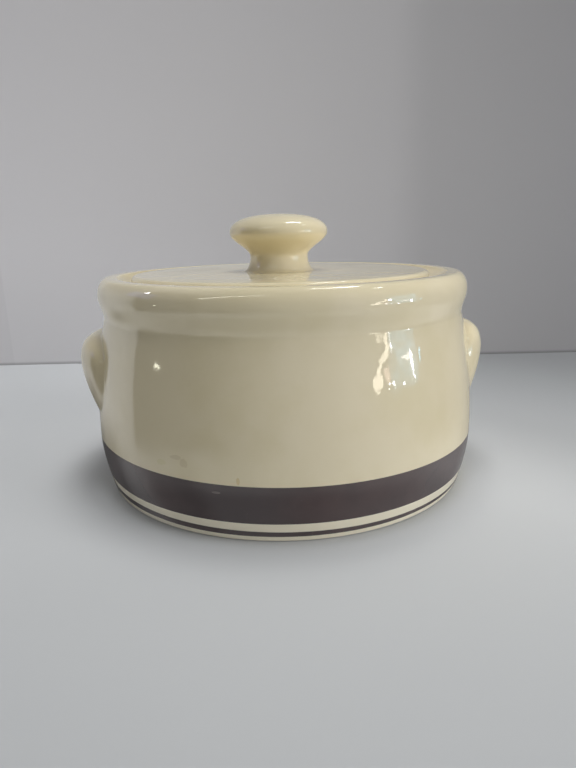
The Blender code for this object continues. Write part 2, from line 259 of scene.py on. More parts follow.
# The window, in its own plane: where the pane fades in at each side, and the marks on it as side,
# up, half width, half height, how bright and colour
WINDOW_PLACE = (61, 7)
WINDOW_SIZE = (0.66, 0.44)
PANE_LEFT = (-0.135, -0.105)
PANE_RIGHT = (0.235, 0.195)
PANE_BOTTOM = (-0.185, -0.150)
PANE_TOP = (0.21, 0.17)
PANE_GRAIN = 11.0
PANE_GLOW = (1.5, 3.1)
WINDOW_GRAIN = 22.0
WINDOW_PANE = (0.18, 0.55, 0.80)
WINDOW_CREAM = (1.00, 0.90, 0.72)
WINDOW_PINK = (1.00, 0.72, 0.62)
WINDOW_WHITE = (1.00, 0.97, 0.98)
WINDOW_MARKS = (
    (-0.085, -0.052, 0.055, 0.050, 0.9, WINDOW_PANE),
    (-0.190, 0.116, 0.045, 0.007, 5.0, WINDOW_CREAM),
    (-0.142, 0.080, 0.016, 0.040, 8.0, WINDOW_CREAM),
    (-0.139, 0.030, 0.014, 0.045, 8.0, WINDOW_CREAM),
    (-0.160, -0.004, 0.024, 0.020, 8.0, WINDOW_CREAM),
    (-0.194, -0.020, 0.030, 0.018, 7.0, WINDOW_CREAM),
    (-0.228, -0.042, 0.024, 0.024, 7.0, WINDOW_CREAM),
    (-0.256, -0.076, 0.030, 0.030, 8.0, WINDOW_CREAM),
    (-0.268, -0.124, 0.080, 0.036, 8.0, WINDOW_CREAM),
    (-0.158, -0.100, 0.034, 0.034, 4.2, WINDOW_PINK),
    (-0.097, 0.045, 0.011, 0.058, 24.0, WINDOW_WHITE),
    (0.085, -0.060, 0.070, 0.013, 8.0, WINDOW_WHITE),
    (0.140, -0.084, 0.016, 0.052, 26.0, WINDOW_WHITE),
    (0.270, -0.076, 0.016, 0.030, 9.0, WINDOW_PANE),
    (-0.148, -0.146, 0.014, 0.010, 20.0, WINDOW_WHITE),
    (-0.096, -0.145, 0.012, 0.012, 20.0, WINDOW_WHITE),
    (0.002, -0.154, 0.014, 0.009, 20.0, WINDOW_WHITE),
    (0.152, -0.146, 0.011, 0.010, 24.0, WINDOW_WHITE),
)

# Table and wall, with painted shade. A dimming is two places, then the shares there, unless they are 0 and 1.
TABLE_RADIUS = 1.4
TABLE_EDGE_STEPS = 128
TABLE_PAINT = (0.692, 0.712, 0.728)
TABLE_ROUGHNESS = 0.9
TABLE_AHEAD_SHADE = (-0.34, 0.08, 0.755, 1.05)
TABLE_SIDE_SHADE = (-0.16, 0.02, 0.965, 1.02)
ASLANT_SHARES = (0.8, 0.6)
TABLE_ASLANT_SHADE = (0.035, 0.16, 1.0, 0.69)
TABLE_FAR_ASLANT_SHADE = (0.12, 0.40, 1.0, 0.60)
WALL_HALF_WIDTH = 2.0
WALL_HALF_HEIGHT = 1.2
WALL_PLACE = (0.0291, 0.2691, 0.0)
WALL_TURN = math.radians(-5.15)
WALL_PAINT = (0.88, 0.865, 0.885)
WALL_ROUGHNESS = 0.7
WALL_ACROSS_SHADE = (-0.40, 0.50, 0.955, 0.36)
WALL_UP_SHADE = (0.10, 0.60, 1.0, 0.68)
WALL_FOLD_SHADE = (0.100, 0.150, 1.0, 0.88)
WALL_JOIN_SHADE = (0.0, 0.004, 0.55, 1.0)
WALL_CORNER_ACROSS = (-0.2925, -0.2945)
WALL_CORNER_UP = (0.108, 0.090)
WALL_CORNER_SHADE = -0.04
PAINT_DRIFT = 0.97

# The viewer's eye, angles in degrees
LENS = 26.26
CLIP_START = 0.01
EYE_DISTANCE = 0.3217
EYE_HEIGHT = 0.1319
EYE_SIDE = 5.4
EYE_PAN = 0.35
EYE_PITCH = 15.14
EYE_ROLL = 1.20


def set_mesh(name, work, material, body, nodes):
    """Finish a bmesh as a named piece that rides on a body and stands for CAD nodes."""
    bmesh.ops.recalc_face_normals(work, faces=work.faces)
    mesh = bpy.data.meshes.new(name)
    work.to_mesh(mesh)
    work.free()
    mesh.materials.append(material)
    mesh.shade_smooth()
    mesh.set_sharp_from_angle(angle=SHARP_ANGLE)
    piece = bpy.data.objects.new(name, mesh)
    bpy.context.scene.collection.objects.link(piece)
    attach(piece, body)
    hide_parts(*nodes)
    return piece


def turned(outline, centre=0.0, steps=TURNED_STEPS):
    """Spin an outline of (radius, height) points about an upright axis, as on a wheel."""
    work = bmesh.new()
    points = [work.verts.new((centre + radius, 0.0, height)) for radius, height in outline]
    edges = [work.edges.new(pair) for pair in zip(points, points[1:])]
    if outline[0][0] > 0:
        edges.append(work.edges.new((points[-1], points[0])))
    bmesh.ops.spin(
        work, geom=points + edges, cent=(centre, 0.0, 0.0), axis=(0.0, 0.0, 1.0),
        angle=math.tau, steps=steps, use_merge=True,
    )
    bmesh.ops.remove_doubles(work, verts=work.verts, dist=MERGE_DISTANCE)
    return work


def arc(centre, reach, rise, start, end, steps):
    """Points along an ellipse, in degrees from straight outwards, upwards positive."""
    points = []
    for step in range(steps + 1):
        angle = math.radians(start + (end - start) * step / steps)
        points.append((centre[0] + reach * math.cos(angle), centre[1] + rise * math.sin(angle)))
    return points


def ease(share):
    """Go from 0 to 1 with a level start and end."""
    return (1 - math.cos(math.pi * share)) / 2


def wall_radius(height):
    """Outer radius of the crock: heel, flaring wall, neck groove and rim bead."""
    if height < BELLY_LEVEL:
        below = 1 - max(height, 0) / BELLY_LEVEL
        return BELLY_RADIUS - HEEL_INSET * below**HEEL_POWER
    if height < SHOULDER_LEVEL:
        above = (height - BELLY_LEVEL) / (SHOULDER_LEVEL - BELLY_LEVEL)
        return BELLY_RADIUS - WALL_FLARE * above**WALL_POWER
    if height < NECK_LEVEL:
        above = (height - SHOULDER_LEVEL) / (NECK_LEVEL - SHOULDER_LEVEL)
        return SHOULDER_RADIUS - SHOULDER_STEP * above
    above = min((height - NECK_LEVEL) / (BEAD_LEVEL - NECK_LEVEL), 1)
    return NECK_RADIUS + NECK_INSET * ease(above)


def wall_run(bottom, top, steps, inset=0.0):
    """Points up the crock's outer wall, set in by a depth."""
    heights = [bottom + (top - bottom) * step / steps for step in range(steps + 1)]
    return [(wall_radius(height) - inset, height) for height in heights]


def make_crock(material):
    """The crock: standing ring, heel, wall, neck, rolled rim, gallery, throat and hollow."""
    flat_radius = wall_radius(0) - FOOT_EDGE
    ring_inside = flat_radius - FOOT_RING_WIDTH
    outline = [(0, FOOT_RECESS), (ring_inside - FOOT_RECESS_SLOPE, FOOT_RECESS), (ring_inside, 0)]
    foot_centre = (flat_radius, FOOT_EDGE)
    outline += arc(foot_centre, wall_radius(FOOT_EDGE) - flat_radius, FOOT_EDGE, -90, 0, EDGE_STEPS)
    outline += wall_run(FOOT_EDGE, BELLY_LEVEL, HEEL_STEPS)[1:]
    outline += wall_run(BELLY_LEVEL, SHOULDER_LEVEL, WALL_STEPS)[1:]
    outline += wall_run(SHOULDER_LEVEL, NECK_LEVEL, SHOULDER_STEPS)[1:]
    outline += wall_run(NECK_LEVEL, BEAD_LEVEL, NECK_STEPS)[1:]
    rim_centre = (MOUTH_RADIUS + RIM_LAND, BEAD_LEVEL)
    outline += arc(rim_centre, RIM_ROLL, RIM_LEVEL - BEAD_LEVEL, 0, 90, RIM_STEPS)[1:]
    mouth_edge = (MOUTH_RADIUS + GALLERY_EDGE, RIM_LEVEL - GALLERY_EDGE)
    outline += arc(mouth_edge, GALLERY_EDGE, GALLERY_EDGE, 90, MOUTH_EDGE_TURN, EDGE_STEPS)
    outline += [(SEAT_RADIUS, SEAT_LEVEL)]
    throat_edge = (THROAT_RADIUS + LEDGE_EDGE, SEAT_LEVEL - LEDGE_EDGE)
    outline += arc(throat_edge, LEDGE_EDGE, LEDGE_EDGE, 90, 180, EDGE_STEPS)
    throat_bottom = SEAT_LEVEL - LEDGE_THICKNESS
    hollow_top = SHOULDER_LEVEL - WALL_THICKNESS
    hollow_radius = wall_radius(hollow_top) - WALL_THICKNESS
    for step in range(THROAT_STEPS + 1):
        share = step / THROAT_STEPS
        radius = THROAT_RADIUS + (hollow_radius - THROAT_RADIUS) * ease(share)
        outline.append((radius, throat_bottom + (hollow_top - throat_bottom) * share))
    floor_level = FOOT_RECESS + FLOOR_THICKNESS
    fillet_top = floor_level + FLOOR_FILLET
    outline += reversed(wall_run(fillet_top, hollow_top, HOLLOW_STEPS, WALL_THICKNESS)[:-1])
    fillet_centre = (wall_radius(fillet_top) - WALL_THICKNESS - FLOOR_FILLET, fillet_top)
    outline += arc(fillet_centre, FLOOR_FILLET, FLOOR_FILLET, 0, -90, FLOOR_FILLET_STEPS)[1:]
    outline.append((0, floor_level))
    return set_mesh("crock_body", turned(outline), material, "crock", ["crock"])


def make_band(name, low, high, steps, tilt, material, node):
    """A ring of brown glaze on the wall, its edges painted a little lower on the right."""
    tilt_low, tilt_high = tilt
    outside = wall_run(low, high, steps, -BAND_PROUD)
    inside = wall_run(low, high, steps, BAND_DEPTH)
    work = turned(outside + inside[::-1])
    for point in work.verts:
        up = (point.co.z - low) / (high - low)
        side = point.co.x / BELLY_RADIUS
        drop = (tilt_low + (tilt_high - tilt_low) * up) * side
        depth = wall_radius(point.co.z) - point.co.xy.length
        height = point.co.z - drop
        point.co.xy *= (wall_radius(height) - depth) / point.co.xy.length
        point.co.z = height
    return set_mesh(name, work, material, "crock", [node])


def ear_reach(across, up):
    """How far an ear stands out at a place on its outline, both shares from -1 to 1."""
    face = max(1 - abs(across) ** EAR_FACE_POWER, 0)
    if face == 0:
        return 0.0
    reach = EAR_REACH * face ** (1 / EAR_REACH_POWER)
    level = up / face ** (1 / EAR_FACE_POWER)
    if level > EAR_TIP_SHARE:
        rise = min((level - EAR_TIP_SHARE) / (1 - EAR_TIP_SHARE), 1)
        return reach * (1 - rise**EAR_CROWN_POWER) ** (1 / EAR_CROWN_POWER)
    fall = min((EAR_TIP_SHARE - level) / (1 + EAR_TIP_SHARE), 1)
    return reach * (1 - fall**EAR_TAPER_POWER)


def bezier(start, lead, follow, end, share):
    """A point on a cubic curve."""
    rest = 1 - share
    weights = (rest**3, 3 * rest * rest * share, 3 * rest * share * share, share**3)
    corners = (start, lead, follow, end)
    return tuple(sum(w * corner[k] for w, corner in zip(weights, corners)) for k in (0, 1))


def resample(points, count):
    """The same path in evenly spaced points."""
    lengths = [0.0]
    for first, second in zip(points, points[1:]):
        lengths.append(lengths[-1] + math.dist(first, second))
    even = []
    at = 0
    for step in range(count + 1):
        want = lengths[-1] * step / count
        while at < len(points) - 2 and lengths[at + 1] < want:
            at += 1
        share = (want - lengths[at]) / max(lengths[at + 1] - lengths[at], 1e-12)
        even.append(tuple(a + (b - a) * share for a, b in zip(points[at], points[at + 1])))
    return even


def ear_spoke(angle, count):
    """From the ear's tip out over its edge, down a soft fillet and onto the wall.

    Each point is (across, up, reach): two places along the wall and how far it stands out.
    """
    squared = 2 / EAR_FACE_POWER
    edge_across = math.copysign(abs(math.cos(angle)) ** squared, math.cos(angle))
    edge_up = math.copysign(abs(math.sin(angle)) ** squared, math.sin(angle))
    run = (edge_across * EAR_HALF_WIDTH, (edge_up - EAR_TIP_SHARE) * EAR_HALF_HEIGHT)
    length = math.hypot(*run)
    slope = []
    for step in range(EAR_SLOPE_STEPS + 1):
        share = math.sin(math.pi / 2 * step / EAR_SLOPE_STEPS)
        across = edge_across * share
        up = EAR_TIP_SHARE + (edge_up - EAR_TIP_SHARE) * share
        slope.append((share * length, ear_reach(across, up) if step < EAR_SLOPE_STEPS else 0.0))
    gone = 0.0
    cut = len(slope) - 1
    while gone < EAR_FILLET and cut > 1:
        gone += math.dist(slope[cut], slope[cut - 1])
        cut -= 1
    top, before = slope[cut], slope[cut - 1]
    steep = math.dist(top, before)
    pull = EAR_FILLET * EAR_FILLET_PULL_SHARE
    lead = (top[0] + (top[0] - before[0]) / steep * pull, top[1] + (top[1] - before[1]) / steep * pull)
    foot = (length + EAR_FILLET, 0.0)
    follow = (foot[0] - pull, 0.0)
    path = slope[:cut + 1]
    for step in range(1, EAR_FILLET_STEPS + 1):
        path.append(bezier(top, lead, follow, foot, step / EAR_FILLET_STEPS))
    path.append((foot[0] + EAR_SKIRT, -EAR_SKIRT_SINK))
    spoke = []
    for gone, reach in resample(path, count):
        share = gone / length
        across = run[0] * share
        up = EAR_TIP_SHARE * EAR_HALF_HEIGHT + run[1] * share
        spoke.append((across, up, reach))
    return spoke


def make_ear(name, facing, middle, material, node):
    """An ear handle: a grid wrapped round the ear's tip, laid on the curved wall."""
    work = bmesh.new()
    bmesh.ops.create_grid(work, x_segments=EAR_SPOKES, y_segments=EAR_RINGS, size=1.0)
    spokes = [ear_spoke(math.tau * k / EAR_SPOKES, EAR_RINGS) for k in range(EAR_SPOKES)]
    for point in work.verts:
        spoke = round((point.co.x + 1) / 2 * EAR_SPOKES) % EAR_SPOKES
        ring = round((point.co.y + 1) / 2 * EAR_RINGS)
        across, up, reach = spokes[spoke][ring]
        height = middle + up
        angle = facing + across / wall_radius(middle)
        radius = wall_radius(height) + reach
        point.co = (radius * math.cos(angle), radius * math.sin(angle), height)
    bmesh.ops.remove_doubles(work, verts=work.verts, dist=MERGE_DISTANCE)
    border = [edge for edge in work.edges if edge.is_boundary]
    root = bmesh.ops.extrude_edge_only(work, edges=border)["geom"]
    for point in [item for item in root if isinstance(item, bmesh.types.BMVert)]:
        point.co.xy *= 1 - EAR_ROOT / point.co.xy.length
    root_edges = [item for item in root if isinstance(item, bmesh.types.BMEdge)]
    bmesh.ops.contextual_create(work, geom=root_edges)
    return set_mesh(name, work, material, "crock", [node])


def make_lid(material):
    """The lid: a flat disc with a rounded edge and a short ring below."""
    top_edge = (LID_RADIUS - LID_TOP_EDGE, LID_TOP - LID_TOP_EDGE)
    bottom_edge = (LID_RADIUS - LID_BOTTOM_EDGE, LID_UNDERSIDE + LID_BOTTOM_EDGE)
    flange_level = LID_UNDERSIDE - FLANGE_DEPTH + FLANGE_EDGE
    flange_inner = (FLANGE_RADIUS - FLANGE_WIDTH + FLANGE_EDGE, flange_level)
    flange_outer = (FLANGE_RADIUS - FLANGE_EDGE, flange_level)
    outline = [(0, LID_UNDERSIDE), (FLANGE_RADIUS - FLANGE_WIDTH, LID_UNDERSIDE)]
    outline += arc(flange_inner, FLANGE_EDGE, FLANGE_EDGE, 180, 270, EDGE_STEPS)
    outline += arc(flange_outer, FLANGE_EDGE, FLANGE_EDGE, -90, 0, EDGE_STEPS)
    outline += [(FLANGE_RADIUS, LID_UNDERSIDE)]
    outline += arc(bottom_edge, LID_BOTTOM_EDGE, LID_BOTTOM_EDGE, -90, 0, EDGE_STEPS)
    outline += arc(top_edge, LID_TOP_EDGE, LID_TOP_EDGE, 0, 90, LID_TOP_STEPS)
    for share in LID_RING_SHARES:
        outline.append(((LID_RADIUS - LID_TOP_EDGE) * share, LID_TOP))
    outline.append((0, LID_TOP))
    work = turned(outline, LID_CENTRE)
    return set_mesh("lid_disc", work, material, "lid", ["lid"])


def make_knob(material):
    """A mushroom knob: coved foot that runs into the lid, waist, swell and low dome."""
    base = KNOB_LOW.z
    cap_level = base + KNOB_FOOT_HEIGHT + KNOB_CAP_RISE
    dome = KNOB_TOP - cap_level
    foot_radius = KNOB_NECK_RADIUS + KNOB_FOOT_FLARE
    outline = [(0, LID_TOP - KNOB_ROOT), (foot_radius, LID_TOP - KNOB_ROOT)]
    cove_centre = (foot_radius, base + KNOB_FOOT_HEIGHT)
    outline += arc(cove_centre, KNOB_FOOT_FLARE, cove_centre[1] - LID_TOP, 270, 180, KNOB_COVE_STEPS)
    swell = KNOB_RADIUS - KNOB_NECK_RADIUS
    for step in range(1, KNOB_SWELL_STEPS + 1):
        share = step / KNOB_SWELL_STEPS
        outline.append((
            KNOB_NECK_RADIUS + swell * ease(share) ** SWELL_POWER,
            base + KNOB_FOOT_HEIGHT + KNOB_CAP_RISE * share,
        ))
    for step in range(1, KNOB_DOME_STEPS):
        angle = math.pi / 2 * step / KNOB_DOME_STEPS
        radius = KNOB_RADIUS * math.cos(angle) ** (2 / DOME_POWER)
        outline.append((radius, cap_level + dome * math.sin(angle) ** (2 / DOME_POWER)))
    outline.append((0, KNOB_TOP))
    work = turned(outline, KNOB_CENTRE, KNOB_TURNED_STEPS)
    return set_mesh("lid_knob", work, material, "lid", ["knob"])


def add_node(tree, kind, inputs=None, **settings):
    """Add a shader node. Inputs are values or the sockets that feed them."""
    made = tree.nodes.new(kind)
    for name, value in settings.items():
        setattr(made, name, value)
    for key, value in (inputs or {}).items():
        if isinstance(value, bpy.types.NodeSocket):
            tree.links.new(value, made.inputs[key])
        else:
            made.inputs[key].default_value = value
    return made


def mixed(tree, share, first, second, kind="MIX"):
    """Mix two colours by a share."""
    made = add_node(tree, "ShaderNodeMix", {0: share, 6: first, 7: second}, data_type="RGBA", blend_type=kind)
    return made.outputs[2]


def sums(tree, operation, first, second=0.5, third=0.5):
    """One arithmetic step."""
    return add_node(tree, "ShaderNodeMath", {0: first, 1: second, 2: third}, operation=operation).outputs[0]


def ranged(tree, value, low, high, to_low=0.0, to_high=1.0):
    """Map a value smoothly from one range to another."""
    made = add_node(
        tree, "ShaderNodeMapRange",
        {"Value": value, "From Min": low, "From Max": high, "To Min": to_low, "To Max": to_high},
        interpolation_type="SMOOTHSTEP",
    )
    return made.outputs["Result"]


def noise(tree, place, scale, detail, roughness=0.5):
    """Soft noise, from 0 to 1."""
    given = {"Vector": place, "Scale": scale, "Detail": detail, "Roughness": roughness}
    return add_node(tree, "ShaderNodeTexNoise", given).outputs["Fac"]


def grey(tree, value):
    """A value as a colour."""
    return add_node(tree, "ShaderNodeCombineColor", {0: value, 1: value, 2: value}).outputs[0]


def new_group(name, inputs, outputs):
    """An empty shader group with named sockets."""
    group = bpy.data.node_groups.new(name, "ShaderNodeTree")
    kinds = {"colour": "NodeSocketColor", "value": "NodeSocketFloat", "vector": "NodeSocketVector"}
    for label, kind in inputs:
        group.interface.new_socket(name=label, in_out="INPUT", socket_type=kinds[kind])
    for label, kind in outputs:
        group.interface.new_socket(name=label, in_out="OUTPUT", socket_type=kinds[kind])
    return group, group.nodes.new("NodeGroupInput"), group.nodes.new("NodeGroupOutput")


def fired_glaze_group():
    """Glaze as it comes from the kiln: it drifts in colour, pools and thins, and ripples."""
    group, given, made = new_group(
        "fired_glaze",
        [("Place", "vector"), ("Thin", "colour"), ("Full", "colour"), ("Speck Colour", "colour"),
         ("Speck Amount", "value")],
        [("Colour", "colour"), ("Ripple", "value"), ("Roughness", "value")],
    )
    place = given.outputs["Place"]
    cloud = noise(group, place, 22.0, 2.0, 0.45)
    mottle = noise(group, place, 95.0, 3.0, 0.55)
    pooled = sums(group, "MULTIPLY_ADD", mottle, 0.35, cloud)
    colour = mixed(group, ranged(group, pooled, 0.50, 0.85), given.outputs["Full"], given.outputs["Thin"])
    speck = add_node(group, "ShaderNodeTexVoronoi", {"Vector": place, "Scale": 260.0, "Randomness": 1.0})
    chance = add_node(group, "ShaderNodeSeparateColor", {0: speck.outputs["Color"]}).outputs[0]
    rare = ranged(group, chance, 0.93, 0.96)
    dot = ranged(group, speck.outputs["Distance"], 0.16, 0.06)
    fleck = sums(group, "MULTIPLY", sums(group, "MULTIPLY", rare, dot), given.outputs["Speck Amount"])
    colour = mixed(group, fleck, colour, given.outputs["Speck Colour"])
    broad = noise(group, place, 42.0, 1.0, 0.4)
    fine = noise(group, place, 210.0, 2.0, 0.5)
    ripple = sums(group, "MULTIPLY_ADD", fine, 0.12, broad)
    smear = noise(group, place, 60.0, 4.0, 0.6)
    group.links.new(colour, made.inputs["Colour"])
    group.links.new(ripple, made.inputs["Ripple"])
    group.links.new(ranged(group, smear, 0.35, 0.75, 0.03, 0.06), made.inputs["Roughness"])
    return group


def small_mark_group():
    """A small uneven mark at one place, as a mask."""
    group, given, made = new_group(
        "small_mark",
        [("Place", "vector"), ("Centre", "vector"), ("Size", "vector"), ("Grain", "value")],
        [("Mask", "value")],
    )
    place, centre, size = (given.outputs[label] for label in ("Place", "Centre", "Size"))
    away = add_node(group, "ShaderNodeVectorMath", {0: place, 1: centre}, operation="SUBTRACT").outputs[0]
    scaled = add_node(group, "ShaderNodeVectorMath", {0: away, 1: size}, operation="DIVIDE").outputs[0]
    far = add_node(group, "ShaderNodeVectorMath", {0: scaled}, operation="LENGTH").outputs["Value"]
    ragged = noise(group, place, given.outputs["Grain"], 2.0)
    reach = sums(group, "MULTIPLY_ADD", ragged, 0.9, far)
    group.links.new(ranged(group, reach, 1.50, 1.30), made.inputs["Mask"])
    return group


def glaze_material(name, glaze, thin, full, speck=(0.0, 0.0, 0.0), speck_amount=0.0):
    """A glossy fired glaze. Returns the material, its tree, shader, group and place."""
    material = bpy.data.materials.new(name)
    material.use_nodes = True
    tree = material.node_tree
    shader = tree.nodes["Principled BSDF"]
    place = add_node(tree, "ShaderNodeTexCoord").outputs["Object"]
    coat = add_node(tree, "ShaderNodeGroup", node_tree=glaze)
    tree.links.new(place, coat.inputs["Place"])
    for label, value in (("Thin", thin), ("Full", full), ("Speck Colour", speck)):
        coat.inputs[label].default_value = (*value, 1.0)
    coat.inputs["Speck Amount"].default_value = speck_amount
    ripple = {"Strength": 1.0, "Distance": RIPPLE_DEPTH, "Height": coat.outputs["Ripple"]}
    bump = add_node(tree, "ShaderNodeBump", ripple)
    tree.links.new(bump.outputs["Normal"], shader.inputs["Normal"])
    shader.inputs["IOR"].default_value = GLAZE_IOR
    return material, tree, shader, coat, place


def small_mark(tree, place, centre, size, grain):
    """The mask of one small mark."""
    mark = add_node(tree, "ShaderNodeGroup", node_tree=bpy.data.node_groups["small_mark"])
    tree.links.new(place, mark.inputs["Place"])
    mark.inputs["Centre"].default_value = centre
    mark.inputs["Size"].default_value = size
    mark.inputs["Grain"].default_value = grain
    return mark.outputs["Mask"]


def marked(tree, place, colour, marks):
    """Lay small marks over a colour."""
    for centre, size, tint, strength in marks:
        share = sums(tree, "MULTIPLY", small_mark(tree, place, centre, size, MARK_GRAIN), strength)
        colour = mixed(tree, share, colour, (*tint, 1.0))
    return colour


def cream_material(name, glaze, clay_top, marks=(), thin=CREAM_THIN, full=CREAM_FULL):
    """Cream glaze, paler on the heel as painted light bounced from the table, and wiped off the clay where
    the piece stood in the kiln.
    """
    material, tree, shader, coat, place = glaze_material(name, glaze, thin, full)
    height = add_node(tree, "ShaderNodeSeparateXYZ", {0: place}).outputs["Z"]
    bare = ranged(tree, height, clay_top + CLAY_FADE, clay_top)
    # Painted light: below the wide band the cream turns paler, as if lit from the table.
    heel = ranged(tree, height, WIDE_HIGH.z, WIDE_LOW.z)
    colour = mixed(tree, heel, coat.outputs["Colour"], (*HEEL_LIT_CREAM, 1.0))
    colour = marked(tree, place, colour, marks)
    tree.links.new(mixed(tree, bare, colour, (*CLAY, 1.0)), shader.inputs["Base Color"])
    matt = sums(tree, "MULTIPLY_ADD", bare, CLAY_ROUGHNESS, coat.outputs["Roughness"])
    tree.links.new(matt, shader.inputs["Roughness"])
    return material


def brown_material(glaze):
    """Dark brown banding glaze under the same gloss."""
    material, tree, shader, coat, place = glaze_material(
        "brown_glaze", glaze, BROWN_THIN, BROWN_FULL, BROWN_SPECK, BROWN_SPECK_AMOUNT)
    colour = marked(tree, place, coat.outputs["Colour"], BROWN_MARKS)
    tree.links.new(colour, shader.inputs["Base Color"])
    tree.links.new(coat.outputs["Roughness"], shader.inputs["Roughness"])
    return material


def stage_material(name, colour, roughness):
    """A plain paint with a faint unevenness, and its place, for the table and the wall."""
    material = bpy.data.materials.new(name)
    material.use_nodes = True
    tree = material.node_tree
    shader = tree.nodes["Principled BSDF"]
    place = add_node(tree, "ShaderNodeTexCoord").outputs["Object"]
    darker = tuple(PAINT_DRIFT * part for part in colour)
    paint = mixed(tree, noise(tree, place, 3.0, 3.0), (*colour, 1.0), (*darker, 1.0))
    tree.links.new(paint, shader.inputs["Base Color"])
    shader.inputs["Roughness"].default_value = roughness
    return material, place


def dim_paint(material, painted_shade):
    """Multiply a paint by painted shade, a share that differs from place to place."""
    tree = material.node_tree
    colour = tree.nodes["Principled BSDF"].inputs["Base Color"]
    dimmed = mixed(tree, 1.0, colour.links[0].from_socket, grey(tree, painted_shade), "MULTIPLY")
    tree.links.new(dimmed, colour)


def stage_object(name, mesh, work, paint):
    """Finish a bmesh as an object of the stage that the glaze doesn't mirror."""
    work.to_mesh(mesh)
    work.free()
    mesh.materials.append(paint)
    made = bpy.data.objects.new(name, mesh)
    made.visible_glossy = False
    bpy.context.scene.collection.objects.link(made)
    return made


def make_table():
    """A pale matt table with painted shade: a little darker towards the front and at the far right."""
    table = bpy.data.meshes.new("table")
    work = bmesh.new()
    bmesh.ops.create_circle(work, cap_ends=True, segments=TABLE_EDGE_STEPS, radius=TABLE_RADIUS)
    paint, place = stage_material("table_paint", TABLE_PAINT, TABLE_ROUGHNESS)
    tree = paint.node_tree
    tree.nodes["Principled BSDF"].inputs["Specular IOR Level"].default_value = 0.0
    side, ahead, _ = add_node(tree, "ShaderNodeSeparateXYZ", {0: place}).outputs
    side_share, ahead_share = ASLANT_SHARES
    aslant = sums(tree, "MULTIPLY_ADD", side, side_share, sums(tree, "MULTIPLY", ahead, ahead_share))
    # Painted shade on the table: darker towards the front, on the left and far to the right.
    near_shade = sums(tree, "MULTIPLY", ranged(tree, ahead, *TABLE_AHEAD_SHADE), ranged(tree, side, *TABLE_SIDE_SHADE))
    far = sums(tree, "MULTIPLY", ranged(tree, aslant, *TABLE_ASLANT_SHADE), ranged(tree, aslant, *TABLE_FAR_ASLANT_SHADE))
    dim_paint(paint, sums(tree, "MULTIPLY", near_shade, far))
    table_top = stage_object("table_top", table, work, paint)


def make_wall():
    """A pale wall close behind the table, seen from in front only, with painted shade: darker to the right
    and upwards, past a fold, along its foot and at the lower left.
    """
    wall = bpy.data.meshes.new("wall")
    work = bmesh.new()
    bmesh.ops.create_grid(work, x_segments=1, y_segments=1, size=1.0)
    bmesh.ops.rotate(work, verts=work.verts, matrix=Matrix.Rotation(math.radians(90), 3, "X"))
    bmesh.ops.scale(work, verts=work.verts, vec=(WALL_HALF_WIDTH, 1.0, WALL_HALF_HEIGHT))
    bmesh.ops.translate(work, verts=work.verts, vec=(0.0, 0.0, WALL_HALF_HEIGHT))
    paint, place = stage_material("wall_paint", WALL_PAINT, WALL_ROUGHNESS)
    tree = paint.node_tree
    across, _, up = add_node(tree, "ShaderNodeSeparateXYZ", {0: place}).outputs
    # Painted shade on the wall: darker to the right and upwards, past a fold, along the join with the table
    # and at the lower left.
    painted_shade = sums(tree, "MULTIPLY", ranged(tree, across, *WALL_ACROSS_SHADE), ranged(tree, up, *WALL_UP_SHADE))
    fold_and_join_shade = sums(tree, "MULTIPLY", ranged(tree, across, *WALL_FOLD_SHADE), ranged(tree, up, *WALL_JOIN_SHADE))
    corner = sums(
        tree, "MULTIPLY", ranged(tree, across, *WALL_CORNER_ACROSS), ranged(tree, up, *WALL_CORNER_UP))
    shade = sums(tree, "MULTIPLY_ADD", corner, WALL_CORNER_SHADE, fold_and_join_shade)
    dim_paint(paint, sums(tree, "MULTIPLY", painted_shade, shade))
    behind = add_node(tree, "ShaderNodeNewGeometry").outputs["Backfacing"]
    clear = add_node(tree, "ShaderNodeBsdfTransparent").outputs[0]
    painted = tree.nodes["Principled BSDF"].outputs[0]
    seen = add_node(tree, "ShaderNodeMixShader", {0: behind, 1: painted, 2: clear})
    tree.links.new(seen.outputs[0], tree.nodes["Material Output"].inputs["Surface"])
    wall_object = stage_object("wall", wall, work, paint)
    wall_object.location = WALL_PLACE
    wall_object.rotation_euler.z = WALL_TURN


def dish_direction(azimuth, elevation):
    """Direction from the dish, in degrees: azimuth 0 is towards the viewer, 90 to the right."""
    turn, lift = math.radians(azimuth), math.radians(elevation)
    return Vector((math.sin(turn) * math.cos(lift), -math.cos(turn) * math.cos(lift), math.sin(lift)))


def face_dish(thing, azimuth, elevation, distance, roll=0.0):
    """Put a light or a card at a distance in a direction, turned towards the dish."""
    away = dish_direction(azimuth, elevation)
    thing.location = Vector((0, 0, LIGHT_AIM)) + away * distance
    thing.rotation_mode = "QUATERNION"
    thing.rotation_quaternion = away.to_track_quat("Z", "Y") @ Quaternion((0, 0, 1), math.radians(roll))


def soft_light(name, azimuth, elevation, distance, size, power):
    """A soft panel of light that faces the dish and is not mirrored in the glaze."""
    light = bpy.data.lights.new(name, "AREA")
    light.shape = "RECTANGLE"
    light.size, light.size_y = size
    light.energy = power
    panel = bpy.data.objects.new(name, light)
    face_dish(panel, azimuth, elevation, distance)
    panel.visible_glossy = False
    bpy.context.scene.collection.objects.link(panel)


def room_ramp(tree, share, stops):
    """Brightness round the room at one level."""
    ramp = add_node(tree, "ShaderNodeValToRGB", {0: share})
    elements = ramp.color_ramp.elements
    while len(elements) < len(stops):
        elements.new(0.5)
    for element, (azimuth, bright) in zip(elements, stops):
        element.position = azimuth / 360 + 0.5
        element.color = (bright, bright, bright, 1.0)
    return ramp.outputs["Color"]


